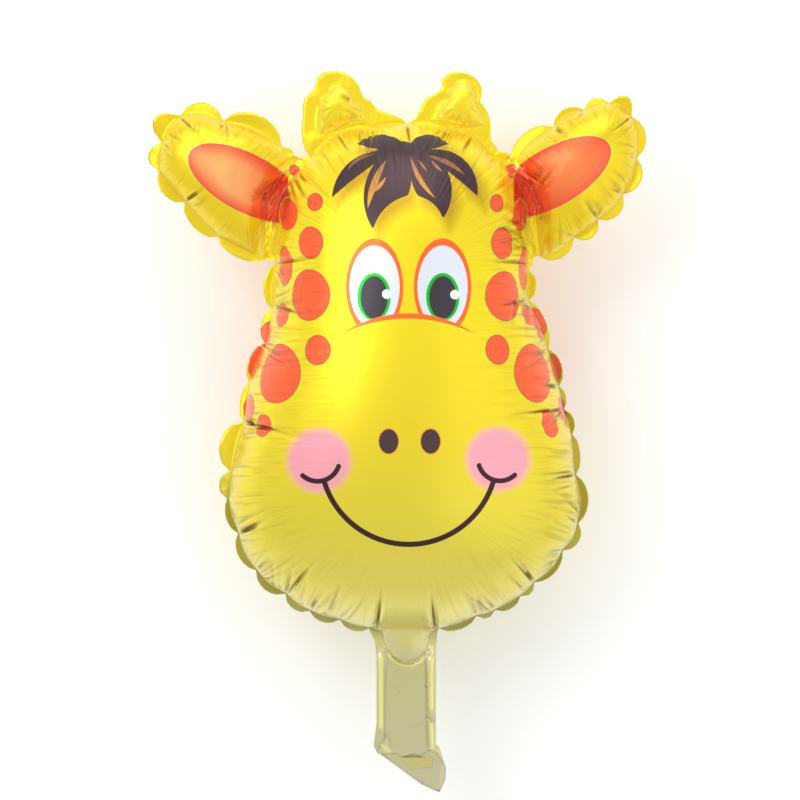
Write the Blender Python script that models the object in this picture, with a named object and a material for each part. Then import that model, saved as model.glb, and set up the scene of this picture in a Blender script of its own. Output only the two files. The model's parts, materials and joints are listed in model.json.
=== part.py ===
"""A foil balloon in the shape of a giraffe's head, inflated and lying on its back.

Two printed foil sheets are welded to each other along one line round the head, the ears and the
horns. The gas between them swells each welded chamber, and the weld puckers into small lobes.
The face looks up (+Z), the top of the head points along +Y, and the origin is under the middle.
"""
import math

import bpy
import numpy as np
from mathutils import Vector
from mathutils.geometry import delaunay_2d_cdt

# Driving sizes, in metres
FACE_HEIGHT = 0.328        # from the tips of the horns down to the chin
NECK_LENGTH = 0.0695       # from the chin to the open mouth of the neck
NECK_WIDTH = 0.0345
NECK_THICKNESS = 0.0010    # the neck's flat panel: two sheets with the valve film between them
FOLD_WIDTH = 0.0062        # each side of the neck is folded over into a narrow soft strip
TONGUE_LENGTH = 0.0165     # how far the gas reaches from the chin into the neck
TAIL_LENGTH = 0.0225       # the rear sheet runs on past the neck's mouth
TAIL_THICKNESS = 0.0003
EDGE_THICKNESS = 0.0006    # the welded edge outside the weld line
VALVE_WIDTH = 0.0180       # the end of the valve film that shows in the mouth
VALVE_LENGTH = 0.0065
VALVE_THICKNESS = 0.0002
CLEARANCE = 0.0003         # between the valve film and the foil
MOUTH_WAVE = 0.0016        # how far the front sheet's lower edge waves up and down
FLAT_SPOT_DEPTH = 0.0030   # how much of the rounded back is flattened where it rests

# How the gas rounds the chambers and the welded edge curls outside them
FULLNESS = 1.22            # 2 would swell a round chamber to a ball
STRIP_FULLNESS = 0.45      # the neck's folded strips hold little gas
WELD_SOFTNESS = 0.045      # rounds the steep start of the swelling beside the weld
CREASE_TAPER = 0.7         # a crease gets shallower towards its inner end
CREASE_SHARPNESS = 0.6     # share of its half width where a crease is steepest
CREASE_FLOOR = 0.0060      # film that swells less than this creases less too
CURL_UP = 0.30             # lift of every second stretch of welded edge, in shares of its width
CURL_DOWN = -0.35
PINCH = 0.12               # share of its width that the welded edge keeps at a notch

# Spacing of the mesh
WELD_STEP = 0.0044
RINGS = ((0.0013, 0.0036), (0.0040, 0.0040), (0.0080, 0.0052), (0.0130, 0.0070))
FIELD_STEP = 0.0092
FIELD_DEPTH = 0.0175
CREASE_RING = 0.0022
CREASE_GAP = 0.0026

# The outlines are drawn in shares of the face's height: 328 of them from horn tips to chin.
# The centre is between the eyes and the nostrils, and x is towards the picture's right.
SHARE = FACE_HEIGHT / 328
CHIN_Y = -119 * SHARE
NECK_X = 3.6 * SHARE
MOUTH_Y = CHIN_Y - NECK_LENGTH

# Each weld line is a clockwise row of notches (x, y, lobe, edge): the foil bulges outwards by
# lobe between this notch and the next, and the welded edge outside it is edge wide.
HEAD_RIGHT = (
    (4, 178.5, 1, 2), (28, 175, 1, 2), (42.5, 171.5, 1, 2), (52.5, 160, 1, 6),
    (63.5, 151.5, 0.5, 2), (71, 141.5, 0.5, 2), (75, 130.5, 0.5, 2), (75.5, 119, 0.5, 2),
    (75, 108.5, 0, 3), (74.5, 93, 0.5, 4.5), (74.5, 75.5, 1.5, 3.5), (86, 47, 1, 4),
    (92.5, 25.5, 0.5, 2.5), (95, 12, 1, 3), (100, -2.5, 0.5, 3.5), (102, -26, 3, 4),
    (103.5, -54, 2.5, 3.5), (94.5, -70, 3, 2.5), (78, -88.5, 1, 2.5), (70, -96.5, 1, 3),
    (55.5, -104.5, 1, 2.5), (44.5, -108, 1.5, 3),
)
HEAD_LEFT = (
    (-17.5, -115, 1.5, 3), (-35, -110, 1.5, 3), (-52.5, -105, 1.5, 3.5), (-66.5, -95, 2.5, 3.5),
    (-83.5, -81.5, 2.5, 3.5), (-94, -60, 1.5, 3), (-100, -40, 0.5, 6), (-98, -24, 0.5, 10),
    (-91, 4.5, 0.5, 3.5), (-87.5, 28, 0.5, 5), (-78, 50.5, 0.5, 4.5), (-74, 70.5, 1.5, 5),
    (-71.5, 97.5, 0, 2.5), (-75.5, 107, 0, 2), (-74.5, 115, 0.5, 2), (-73.5, 125, 0.5, 2),
    (-70.5, 137, 0.5, 2), (-66, 143.5, 0.5, 2), (-59.5, 150.5, 0.5, 4.5),
    (-51.5, 158.5, 1.5, 4.5), (-36.5, 172.5, 1, 2), (-16.5, 176, 1, 2),
)
LEFT_EAR = (
    (-63.5, 151.5, 0, 2), (-67.5, 149, -0.5, 2), (-73.5, 138, -0.5, 2), (-78, 131, 0, 2),
    (-78.5, 115, 0, 2), (-79, 100, 0.5, 6), (-105.5, 113, 1, 6), (-125, 133, 1.5, 5.5),
    (-140, 151, 1.5, 6.5), (-138, 167, 2.5, 9.5), (-128, 182.5, 3, 7), (-103.5, 179.5, 3.5, 8.5),
    (-69.5, 165, 0.5, 5),
)
RIGHT_EAR = (
    (65, 152.5, 3, 6.5), (89.5, 176.5, 3, 3.5), (107.5, 186, 2, 3.5), (121.5, 190, 2.5, 6.5),
    (134.5, 182.5, 3, 4.5), (137.5, 158.5, 3, 4.5), (129.5, 137.5, 2.5, 4.5),
    (115, 123, 2.5, 4.5), (101, 112.5, 2.5, 4.5), (81.5, 101, 0, 2), (80, 116, 0, 2),
    (79, 131, 0, 2), (75.5, 140, 0, 2),
)
LEFT_HORN = (
    (-47, 172.5, 1, 2), (-46.8, 190, 1.5, 2), (-42, 197, 1.5, 2), (-33.7, 199.5, 2, 2),
    (-26.8, 191.5, 2.7, 1), (-19.5, 179.2, -1.5, 1), (-31, 178.2, 1, 1),
)
RIGHT_HORN = (
    (20.8, 180.5, 1.5, 2), (28.5, 193.5, 2.5, 2), (31, 200.5, 3, 2), (42.5, 199, 1.5, 2),
    (44, 189.5, 1.5, 1), (49, 177.5, 0, 1), (41.5, 176, 0, 1), (29.4, 178, 0, 1),
)

# Flat welded ground beside each ear
WELDED_GROUND = (
    ((-84, 99), (-70, 99), (-68, 140), (-56, 157), (-62, 160), (-80, 140)),
    ((72, 99), (85, 103), (82, 140), (66, 158), (60, 152), (72, 138)),
)

# The cut edge of the broad welded ground round each horn, through which a smooth curve runs
HORN_GROUND = (
    ((-46, 156), (-12, 172), (3.8, 178.6), (-5, 183.8), (-13.5, 186.8), (-17.5, 191.8), (-21.4, 193.8),
     (-24.2, 200.8), (-29.4, 206.4), (-36.5, 209), (-44.6, 208.2), (-48.4, 205), (-50, 198.6),
     (-55.6, 193.2), (-56.6, 184), (-56.4, 167)),
    ((24, 170), (50, 159), (57, 163), (53, 168.6), (52.6, 180), (50, 187.2), (46.8, 191),
     (47.8, 198.8), (43, 205.8), (35.7, 208.4), (28, 207.5), (23.9, 203.8), (24.8, 199.6),
     (21, 195.8), (14.6, 192.6), (11.6, 186.4), (8.6, 180.8), (3.8, 178.4)),
)

# Long creases that run in from the weld: start, end, depth and half width
CREASES = (
    (-73, 97, -41, 100, 1.6, 4), (-73, 72, -49, 64.5, 2, 4), (-91, 4.5, -56, -4, 4.5, 5),
    (-94, -60, -73, -48.5, 2.5, 4), (-66.5, -95, -46, -71, 2.5, 4), (-14, -116, -10, -87, 3, 4),
    (20, -116, 17.5, -89, 3, 4), (78, -88.5, 60, -70, 2.5, 4), (102, -26, 81, -30, 2, 4),
    (95, 12, 58, 9, 4, 5), (74.5, 75.5, 52, 71, 1.8, 4), (75, 97, 46, 98, 1.6, 4),
    (4, 178.5, 7, 164, 2, 3.5), (-36.5, 172.5, -27, 160, 1.6, 3.5), (42.5, 171.5, 35, 161, 1.6, 3.5),
    (-125, 133, -113, 141, 1.6, 3.5), (-128, 182.5, -116, 171, 1.6, 3.5),
    (115, 123, 106, 134, 1.6, 3.5), (134.5, 182.5, 121, 172, 1.6, 3.5),
    (-33.7, 199.5, -35, 191, 2, 2.5), (-26.8, 191.5, -34, 187, 2, 2.5),
    (-46.8, 190, -40, 189, 2, 2.5), (28.5, 193.5, 34, 191, 2, 2.5), (44, 189.5, 39, 188, 2, 2.5),
)

# The neck's outline: x in half neck widths from its middle, y in metres from chin or mouth
PANEL_TOP = ((-1.30, 0.005), (1.06, 0.005), (1, -0.008))
PANEL_TOP_LEFT = ((-1, -0.012), (-1.06, -0.004))
PANEL_BOTTOM_RIGHT = (1, 0.006)
PANEL_BOTTOM_LEFT = ((-1.10, 0.0045), (-1, 0.018))
MOUTH = ((1.08, 0.4), (0.76, 1.5), (0.5, -0.6), (0.2, 0), (-0.12, -1), (-0.36, 0.2), (-0.96, 0))
TAIL_TOP = ((-0.97, 0.001), (1.10, 0.0045))
TAIL_SIDE = ((1.34, -0.36), (1.33, -0.66), (1.12, -1), (0.52, -0.80))
TONGUE_TOP = ((1.12, 3.5, 0), (0.80, 0, 0.0005))
TONGUE_TIP = ((0.62, 0.65, 0.0012), (0, 1, 0.0012), (-0.58, 0.62, 0.0008))
TONGUE_LEFT = (-0.84, 1.5, 0)
TONGUE_EDGE = 0.001
STRIP_TOP = 0.45           # the strips start this share of the tongue's length below the chin
STRIP_END = 0.003          # and end this far above the mouth

# The valve film's end: its middle in half neck widths, its slants in shares of its own sizes
VALVE_MIDDLE = 0.36
VALVE_SLANT = 0.22
VALVE_RISE = 0.18

FOIL_COLOUR = (0.93, 0.74, 0.04, 1)
VALVE_COLOUR = (0.72, 0.66, 0.22, 1)


def clear_scene():
    for item in list(bpy.data.objects):
        bpy.data.objects.remove(item, do_unlink=True)


def shares(points):
    """Outline points in metres."""
    return [tuple(value * SHARE for value in point) for point in points]


def smooth_outline(points):
    """Closed curve through a few points, in metres, with rows about one mesh step apart."""
    rows = np.array(points)
    outline = []
    for number, start in enumerate(rows):
        before = rows[number - 1]
        end = rows[(number + 1) % len(rows)]
        after = rows[(number + 2) % len(rows)]
        steps = max(1, round(math.dist(start, end) / WELD_STEP))
        for step in range(steps):
            share = step / steps
            bend = 2 * before - 5 * start + 4 * end - after
            twist = 3 * start - before - 3 * end + after
            place = start + (share * (end - before) + share ** 2 * bend + share ** 3 * twist) / 2
            outline.append(tuple(place))
    return outline


def tongue():
    """Notches of the rounded end of the head's chamber, inside the top of the neck."""
    half = NECK_WIDTH / 2
    rows = [(NECK_X + x * half, CHIN_Y + y * SHARE, lobe, TONGUE_EDGE) for x, y, lobe in TONGUE_TOP]
    rows += [(NECK_X + x * half, CHIN_Y - y * TONGUE_LENGTH, lobe, TONGUE_EDGE)
             for x, y, lobe in TONGUE_TIP]
    x, y, lobe = TONGUE_LEFT
    return rows + [(NECK_X + x * half, CHIN_Y + y * SHARE, lobe, TONGUE_EDGE)]


def folded_strip(side):
    """Notches of the soft strip along one side of the neck; side is -1 or 1."""
    outer = NECK_X + side * (NECK_WIDTH / 2 - EDGE_THICKNESS)
    inner = NECK_X + side * (NECK_WIDTH / 2 - FOLD_WIDTH)
    left = min(inner, outer)
    right = max(inner, outer)
    top = CHIN_Y - STRIP_TOP * TONGUE_LENGTH
    bottom = MOUTH_Y + STRIP_END
    return [(left, bottom, 0, 0), (left, top, 0, 0), (right, top, 0, 0), (right, bottom, 0, 0)]


CHAMBERS = {
    "head": (shares(HEAD_RIGHT) + tongue() + shares(HEAD_LEFT), FULLNESS),
    "left ear": (shares(LEFT_EAR), FULLNESS),
    "right ear": (shares(RIGHT_EAR), FULLNESS),
    "left horn": (shares(LEFT_HORN), FULLNESS),
    "right horn": (shares(RIGHT_HORN), FULLNESS),
    "left strip": (folded_strip(-1), STRIP_FULLNESS),
    "right strip": (folded_strip(1), STRIP_FULLNESS),
}


def weld_and_edge(notches):
    """Weld line and outer edge of a chamber as (x, y, lift) rows; the edge curls up and down."""
    weld = []
    edge = []
    for number, (x, y, lobe, width) in enumerate(notches):
        next_x, next_y = notches[(number + 1) % len(notches)][:2]
        length = math.hypot(next_x - x, next_y - y)
        out_x = -(next_y - y) / length
        out_y = (next_x - x) / length
        steps = max(3, round((length + lobe + width) / WELD_STEP))
        curl = CURL_UP if number % 2 else CURL_DOWN
        for step in range(steps):
            share = step / steps
            bulge = 4 * lobe * share * (1 - share)
            base_x = x + share * (next_x - x)
            base_y = y + share * (next_y - y)
            weld.append((base_x + out_x * bulge, base_y + out_y * bulge))
            middle = math.sin(math.pi * share)
            reach = bulge + width * (PINCH + (1 - PINCH) * math.sqrt(middle))
            edge.append((base_x + out_x * reach, base_y + out_y * reach, curl * width * middle))
    return weld, edge


def beside_neck(rows, level):
    """Neck outline points: x is given in half widths, y in metres from a level."""
    return [(NECK_X + x * NECK_WIDTH / 2, level + y) for x, y in rows]


def mouth():
    """Wavy lower edge of the front sheet, from right to left."""
    return beside_neck([(x, y * MOUTH_WAVE) for x, y in MOUTH], MOUTH_Y)


def neck_panel():
    """Outline of the neck's flat panel."""
    down_right = beside_neck(PANEL_TOP, CHIN_Y) + beside_neck([PANEL_BOTTOM_RIGHT], MOUTH_Y)
    up_left = beside_neck(PANEL_BOTTOM_LEFT, MOUTH_Y) + beside_neck(PANEL_TOP_LEFT, CHIN_Y)
    return down_right + mouth() + up_left


def lip():
    """Narrow band just below the mouth, which keeps the step down to the rear sheet steep."""
    below = [(x, y - CLEARANCE) for x, y in mouth()]
    return mouth() + below[::-1]


def tail():
    """Outline of the rear sheet's slanting end below the mouth."""
    slant = beside_neck([(x, y * TAIL_LENGTH) for x, y in TAIL_SIDE], MOUTH_Y)
    return beside_neck(TAIL_TOP, MOUTH_Y) + slant


def distance_to_lines(points, starts, ends):
    """Distance from each point to the nearest of the straight lines."""
    nearest = np.full(len(points), np.inf)
    for start, end in zip(starts, ends):
        along = end - start
        share = np.clip((points - start) @ along / (along @ along), 0, 1)
        gap = points - (start + share[:, None] * along)
        nearest = np.minimum(nearest, np.hypot(gap[:, 0], gap[:, 1]))
    return nearest


def inside(points, outline):
    """Whether each point is inside a closed outline."""
    result = np.zeros(len(points), dtype=bool)
    x, y = points[:, 0], points[:, 1]
    for (x0, y0), (x1, y1) in zip(outline, np.roll(outline, -1, axis=0)):
        if y0 != y1:
            crosses = (y0 > y) != (y1 > y)
            result ^= crosses & (x < x0 + (y - y0) * (x1 - x0) / (y1 - y0))
    return result


def turns_left(outline):
    """Whether an outline runs counterclockwise, as the triangulation needs it."""
    rows = np.array([row[:2] for row in outline])
    following = np.roll(rows, -1, axis=0)
    return np.sum(rows[:, 0] * following[:, 1] - rows[:, 1] * following[:, 0]) > 0


def spaced(candidates, gap, kept):
    """Add to kept each candidate that is at least gap away from those already kept."""
    for point in candidates:
        if not kept or np.min(np.hypot(*(np.array(kept) - point).T)) >= gap:
            kept.append(point)


def crease_rows():
    """Points along the creases and beside them, so that the mesh can follow each fold."""
    rows = []
    for x0, y0, x1, y1, _, half_width in shares(CREASES):
        length = math.hypot(x1 - x0, y1 - y0)
        side_x = -(y1 - y0) / length * half_width
        side_y = (x1 - x0) / length * half_width
        steps = max(3, round(length / WELD_STEP))
        for step in range(1, steps + 1):
            share = step / steps
            for side in (0, -1, 1):
                rows.append((x0 + share * (x1 - x0) + side * side_x,
                             y0 + share * (y1 - y0) + side * side_y))
    return np.array(rows)


def chamber_points(weld):
    """Mesh points inside one weld line: rings beside it, where it is steep, then an even field."""
    ends = np.roll(weld, -1, axis=0)
    before = weld - np.roll(weld, 1, axis=0)
    after = ends - weld
    normal = np.stack([before[:, 1] + after[:, 1], -before[:, 0] - after[:, 0]], axis=1)
    normal /= np.linalg.norm(normal, axis=1)[:, None]
    kept = []

    def keep(candidates, depth, gap):
        allowed = inside(candidates, weld) & (distance_to_lines(candidates, weld, ends) > 0.9 * depth)
        spaced(candidates[allowed], gap, kept)

    first_depth, first_gap = RINGS[0]
    keep(weld + normal * first_depth, first_depth, 0.75 * first_gap)
    keep(crease_rows(), CREASE_RING, CREASE_GAP)
    for depth, gap in RINGS[1:]:
        keep(weld + normal * depth, depth, 0.8 * gap)
    low = weld.min(axis=0)
    high = weld.max(axis=0)
    row_height = FIELD_STEP * math.sqrt(3) / 2
    field = []
    for row in range(int((high[1] - low[1]) / row_height) + 1):
        offset = FIELD_STEP / 2 * (row % 2)
        for column in range(int((high[0] - low[0]) / FIELD_STEP) + 1):
            field.append((low[0] + offset + column * FIELD_STEP, low[1] + row * row_height))
    keep(np.array(field), FIELD_DEPTH, 0.7 * FIELD_STEP)
    return kept


def flat_pattern():
    """Triangles over the whole outline, with the chamber and the lift of each point."""
    points = []
    lifts = []
    outlines = []

    def add_outline(rows):
        first = len(points)
        for row in rows:
            points.append(row[:2])
            lifts.append(row[2] if len(row) > 2 else 0.0)
        outline = list(range(first, len(points)))
        outlines.append(outline if turns_left(rows) else outline[::-1])

    edges = []
    fields = []
    for notches, _ in CHAMBERS.values():
        weld, edge = weld_and_edge(notches)
        add_outline(weld)
        edges.append(edge)
        fields.append(chamber_points(np.array(weld)))
    for notches, edge in zip(CHAMBERS.values(), edges):
        if notches[1] == FULLNESS:
            add_outline(edge)
    for ground in WELDED_GROUND:
        add_outline(shares(ground))
    for ground in HORN_GROUND:
        add_outline(smooth_outline(shares(ground)))
    panel_index = len(outlines)
    add_outline(neck_panel())
    add_outline(tail())
    add_outline(lip())
    for field in fields:
        for point in field:
            points.append(tuple(point))
            lifts.append(0.0)

    result = delaunay_2d_cdt([Vector(point) for point in points], [], outlines, 1, 1e-6)
    flat_points, _, triangles, source_points, _, source_faces = result
    places = np.array([tuple(point) for point in flat_points])
    lift = np.array([max((lifts[i] for i in rows), key=abs, default=0.0) for rows in source_points])
    return places, lift, np.array(triangles), source_faces, panel_index


def membrane(places, triangles, free):
    """Height of a soap film under even pressure, held at zero wherever it isn't free."""
    count = len(places)
    stiffness = np.zeros((count, count))
    load = np.zeros(count)
    for corners in triangles:
        a, b, c = places[corners]
        area = abs((b[0] - a[0]) * (c[1] - a[1]) - (b[1] - a[1]) * (c[0] - a[0])) / 2
        opposite = np.array([c - b, a - c, b - a])
        stiffness[np.ix_(corners, corners)] += opposite @ opposite.T / (4 * max(area, 1e-12))
        load[corners] += area / 3
    height = np.zeros(count)
    height[free] = np.linalg.solve(stiffness[np.ix_(free, free)], load[free])
    return np.maximum(height, 0)


def swelling(places, triangles, source_faces):
    """Half thickness of the gas at each point, creases included."""
    names = list(CHAMBERS)
    owner = np.full(len(triangles), -1)
    for number, faces in enumerate(source_faces):
        held = [face for face in faces if face < len(names)]
        if held:
            owner[number] = held[0]
    low = np.full(len(places), 99)
    high = np.full(len(places), -2)
    for corners, chamber in zip(triangles, owner):
        low[corners] = np.minimum(low[corners], chamber)
        high[corners] = np.maximum(high[corners], chamber)
    free = np.nonzero((low == high) & (low >= 0))[0]

    film = membrane(places, triangles, free)
    height = np.zeros(len(places))
    for number, name in enumerate(names):
        held = free[low[free] == number]
        softness = WELD_SOFTNESS * math.sqrt(film[held].max())
        height[held] = CHAMBERS[name][1] * (np.sqrt(film[held] + softness ** 2) - softness)
    for x0, y0, x1, y1, depth, half_width in shares(CREASES):
        start = np.array([x0, y0])
        along = np.array([x1, y1]) - start
        share = (places - start) @ along / (along @ along)
        across = distance_to_lines(places, [start], [start + along])
        fade = np.clip(1 - share, 0, 1) ** CREASE_TAPER
        cut = depth * fade * np.exp(-(across / (CREASE_SHARPNESS * half_width)) ** 2)
        height -= cut * height / (height + CREASE_FLOOR)
    return height


def film_thickness(places, triangles, source_faces, panel_index):
    """Half thickness of the flat film above and below the seam's plane at each point."""
    above = np.full(len(places), EDGE_THICKNESS / 2)
    below = np.full(len(places), EDGE_THICKNESS / 2)
    on_panel = np.zeros(len(places), dtype=bool)
    on_tail_only = np.zeros(len(places), dtype=bool)
    for corners, faces in zip(triangles, source_faces):
        if panel_index in faces:
            on_panel[corners] = True
        elif panel_index + 1 in faces:
            on_tail_only[corners] = True
    on_tail_only &= ~on_panel
    above[on_panel] = NECK_THICKNESS / 2
    below[on_panel] = NECK_THICKNESS / 2
    below[on_tail_only] = NECK_THICKNESS / 2
    above[on_tail_only] = TAIL_THICKNESS - NECK_THICKNESS / 2
    return above, below


def foil_material(name, colour, roughness, metallic):
    material = bpy.data.materials.new(name)
    material.use_nodes = True
    shader = material.node_tree.nodes["Principled BSDF"]
    shader.inputs["Base Color"].default_value = colour
    shader.inputs["Roughness"].default_value = roughness
    shader.inputs["Metallic"].default_value = metallic
    return material


def new_object(name, vertices, faces, material):
    mesh = bpy.data.meshes.new(name)
    mesh.from_pydata(vertices, [], faces)
    mesh.materials.append(material)
    mesh.update()
    piece = bpy.data.objects.new(name, mesh)
    bpy.context.scene.collection.objects.link(piece)
    return piece


def make_envelope():
    """The two welded sheets as one closed solid; returns it with its shift and seam height."""
    places, lift, triangles, source_faces, panel_index = flat_pattern()
    height = swelling(places, triangles, source_faces)
    above, below = film_thickness(places, triangles, source_faces, panel_index)

    seam_z = float(np.max(height + below)) - FLAT_SPOT_DEPTH
    middle = (places.min(axis=0) + places.max(axis=0)) / 2
    count = len(places)
    front = seam_z + lift + above + height
    back = np.maximum(seam_z + lift - below - height, 0.0)
    vertices = [(x - middle[0], y - middle[1], z) for (x, y), z in zip(places, front)]
    vertices += [(x - middle[0], y - middle[1], z) for (x, y), z in zip(places, back)]

    faces = []
    border = {}
    for a, b, c in triangles.tolist():
        turn = np.cross(places[b] - places[a], places[c] - places[a])
        if turn < 0:
            b, c = c, b
        faces.append((a, b, c))
        faces.append((a + count, c + count, b + count))
        for start, end in ((a, b), (b, c), (c, a)):
            if (end, start) in border:
                del border[(end, start)]
            else:
                border[(start, end)] = True
    for start, end in border:
        faces.append((start, start + count, end + count, end))

    material = foil_material("yellow foil", FOIL_COLOUR, 0.28, 0.6)
    envelope = new_object("foil_balloon", vertices, faces, material)
    envelope.data.shade_smooth()
    envelope.data.set_sharp_from_angle(angle=math.radians(50))
    return middle, seam_z


def make_valve_end(middle, seam_z):
    """The end of the thin valve film, lying on the rear sheet just below the mouth."""
    centre_x = NECK_X + VALVE_MIDDLE * NECK_WIDTH / 2 - middle[0]
    top_y = MOUTH_Y - MOUTH_WAVE - 2 * CLEARANCE - middle[1]
    bottom_y = top_y - VALVE_LENGTH
    slant = VALVE_SLANT * VALVE_WIDTH
    half = VALVE_WIDTH / 2
    low = seam_z + TAIL_THICKNESS - NECK_THICKNESS / 2 + CLEARANCE
    outline = [
        (centre_x - half, top_y), (centre_x - half + slant, bottom_y),
        (centre_x + half, bottom_y + VALVE_RISE * VALVE_LENGTH), (centre_x + half, top_y),
    ]
    vertices = [(x, y, low) for x, y in outline]
    vertices += [(x, y, low + VALVE_THICKNESS) for x, y in outline]
    faces = [(3, 2, 1, 0), (4, 5, 6, 7)]
    faces += [(i, (i + 1) % 4, (i + 1) % 4 + 4, i + 4) for i in range(4)]
    material = foil_material("valve film", VALVE_COLOUR, 0.4, 0.0)
    new_object("valve_film", vertices, faces, material)


clear_scene()
centre, seam_height = make_envelope()
make_valve_end(centre, seam_height)
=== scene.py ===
import json
import math
import random
from functools import reduce

import bmesh
import bpy
import numpy as np
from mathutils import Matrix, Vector
from mathutils.bvhtree import BVHTree
from mathutils.kdtree import KDTree


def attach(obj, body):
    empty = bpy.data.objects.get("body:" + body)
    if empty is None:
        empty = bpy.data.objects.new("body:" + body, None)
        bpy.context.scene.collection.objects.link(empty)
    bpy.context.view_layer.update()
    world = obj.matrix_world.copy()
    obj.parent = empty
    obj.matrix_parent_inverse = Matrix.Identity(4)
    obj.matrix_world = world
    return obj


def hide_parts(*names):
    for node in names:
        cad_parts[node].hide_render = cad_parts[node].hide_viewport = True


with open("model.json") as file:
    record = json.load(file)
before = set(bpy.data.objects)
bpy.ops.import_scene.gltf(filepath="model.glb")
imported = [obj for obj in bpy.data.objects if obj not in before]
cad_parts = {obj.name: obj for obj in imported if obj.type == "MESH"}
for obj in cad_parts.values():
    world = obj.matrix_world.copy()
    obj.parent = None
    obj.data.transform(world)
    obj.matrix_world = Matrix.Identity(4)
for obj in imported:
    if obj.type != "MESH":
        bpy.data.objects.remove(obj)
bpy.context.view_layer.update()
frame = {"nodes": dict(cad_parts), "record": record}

scene = bpy.context.scene
scene.view_settings.view_transform = "Standard"

MOUNTS = {mount["name"]: mount for mount in frame["record"]["mounts"]}
NECK_THICKNESS = 0.0010
SEAM_Z = MOUNTS["neck_front"]["pos_m"][2] - NECK_THICKNESS / 2
CAMERA_DISTANCE = 2.5          # above the plane of the weld
VIEW_WIDTH = 0.4660            # of that plane, from one side of the picture to the other
VIEW_CENTRE = (0.0017, 0.0185)  # x and y that the camera looks down on

camera_data = bpy.data.cameras.new("camera")
camera_data.sensor_width = 36
camera_data.lens = camera_data.sensor_width * CAMERA_DISTANCE / VIEW_WIDTH
camera_data.clip_end = 20
camera = bpy.data.objects.new("camera", camera_data)
camera.location = (*VIEW_CENTRE, SEAM_Z + CAMERA_DISTANCE)
scene.collection.objects.link(camera)
scene.camera = camera


def soft_light(name, place, size, energy):
    """A square soft box that points at the middle of the balloon."""
    light = bpy.data.lights.new(name, "AREA")
    light.shape = "SQUARE"
    light.size = size
    light.energy = energy
    lamp = bpy.data.objects.new(name, light)
    lamp.location = place
    aim = Vector((0, 0, SEAM_Z)) - lamp.location
    lamp.rotation_euler = aim.to_track_quat("-Z", "Y").to_euler()
    scene.collection.objects.link(lamp)


soft_light("key softbox", (-1.1, 0.9, 1.5), 1.2, 11)
soft_light("fill softbox", (1.4, -0.3, 1.2), 2.2, 5)
soft_light("top softbox", (0.1, 1.6, 0.9), 1.0, 6)

world = bpy.data.worlds.new("studio")
world.use_nodes = True
sky = world.node_tree.nodes["Background"]
sky.inputs["Color"].default_value = (1, 1, 1, 1)
sky.inputs["Strength"].default_value = 0.80
scene.world = world

# A little light of the floor's own keeps the balloon's shadow pale
bpy.ops.mesh.primitive_plane_add(size=6, location=(0, 0, 0))
floor = bpy.context.active_object
floor.name = "floor"
floor_material = bpy.data.materials.new("pale floor")
floor_material.use_nodes = True
floor_shader = floor_material.node_tree.nodes["Principled BSDF"]
floor_shader.inputs["Base Color"].default_value = (0.93, 0.93, 0.93, 1)
floor_shader.inputs["Roughness"].default_value = 0.9
floor_shader.inputs["Emission Color"].default_value = (1, 1, 1, 1)
floor_shader.inputs["Emission Strength"].default_value = 0.12
floor.data.materials.append(floor_material)

# The foil envelope. Two metallised films are welded face to face round their edge, and the gas
# swells them. The film can't stretch, so it puckers at the weld and sends creases inwards.
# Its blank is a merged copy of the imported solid, inflated again as thin film.
FILM_GAP = 0.0011              # where the two skins are closer than this, they are welded flat
EDGE_CURL = 0.006              # the welded edge curls up and down less than this
PARTNER_REACH = 2e-5           # points of the two skins this close in plan belong together
FILM_SLACK = 0.10              # how much more film there is along the weld than the pulled-in seam
SLACK_REACH = 0.022            # and how far in from the weld that spreads
GAS_PRESSURE = 6
GAS_STEPS = 24
FILM_SHIFT = 0.007             # the gas moves no point of the film further than this
NOTCH_SAG = 0.0002             # a weld point that lies this far inside its neighbours is a notch
WELDED = 0.6                   # share from which a point counts as welded
HEAD_MIDDLE = 0.0045           # x of the line between the eyes
CHIN_Y = -0.110
CHIN_REACH = (0.012, 0.011)    # half size of the ground that is smoothed where the neck begins
CHIN_ROUNDS = 90
cad = frame["nodes"]["foil_balloon"]
envelope = bpy.data.objects.new("foil_envelope", cad.data.copy())
scene.collection.objects.link(envelope)
mesh = bmesh.new()
mesh.from_mesh(envelope.data)
bmesh.ops.remove_doubles(mesh, verts=mesh.verts, dist=2e-6)
bmesh.ops.recalc_face_normals(mesh, faces=mesh.faces)
mesh.to_mesh(envelope.data)
mesh.free()


def coordinates(piece):
    """Places of a piece's points as rows of x, y and z."""
    rows = np.empty(len(piece.data.vertices) * 3)
    piece.data.vertices.foreach_get("co", rows)
    return rows.reshape(-1, 3)


def put_back(piece, rows):
    piece.data.vertices.foreach_set("co", rows.ravel())
    piece.data.update()


def edge_pairs(piece):
    rows = np.empty(len(piece.data.edges) * 2, dtype=np.int64)
    piece.data.edges.foreach_get("vertices", rows)
    return rows.reshape(-1, 2)


def is_flat(rows):
    """Whether each point lies on flat film, less than a gap from its partner on the other skin."""
    tree = KDTree(len(rows))
    for number, (x, y, _) in enumerate(rows):
        tree.insert((x, y, 0), number)
    tree.balance()
    flat = np.abs(rows[:, 2] - SEAM_Z) < EDGE_CURL
    for number in np.nonzero(flat)[0]:
        x, y, z = rows[number]
        heights = [rows[other, 2] for _, other, _ in tree.find_range((x, y, 0), PARTNER_REACH)]
        alone = len(heights) == 1
        gap = 2 * abs(z - SEAM_Z) if alone else max(heights) - min(heights)
        flat[number] = gap < FILM_GAP
    return flat


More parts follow.
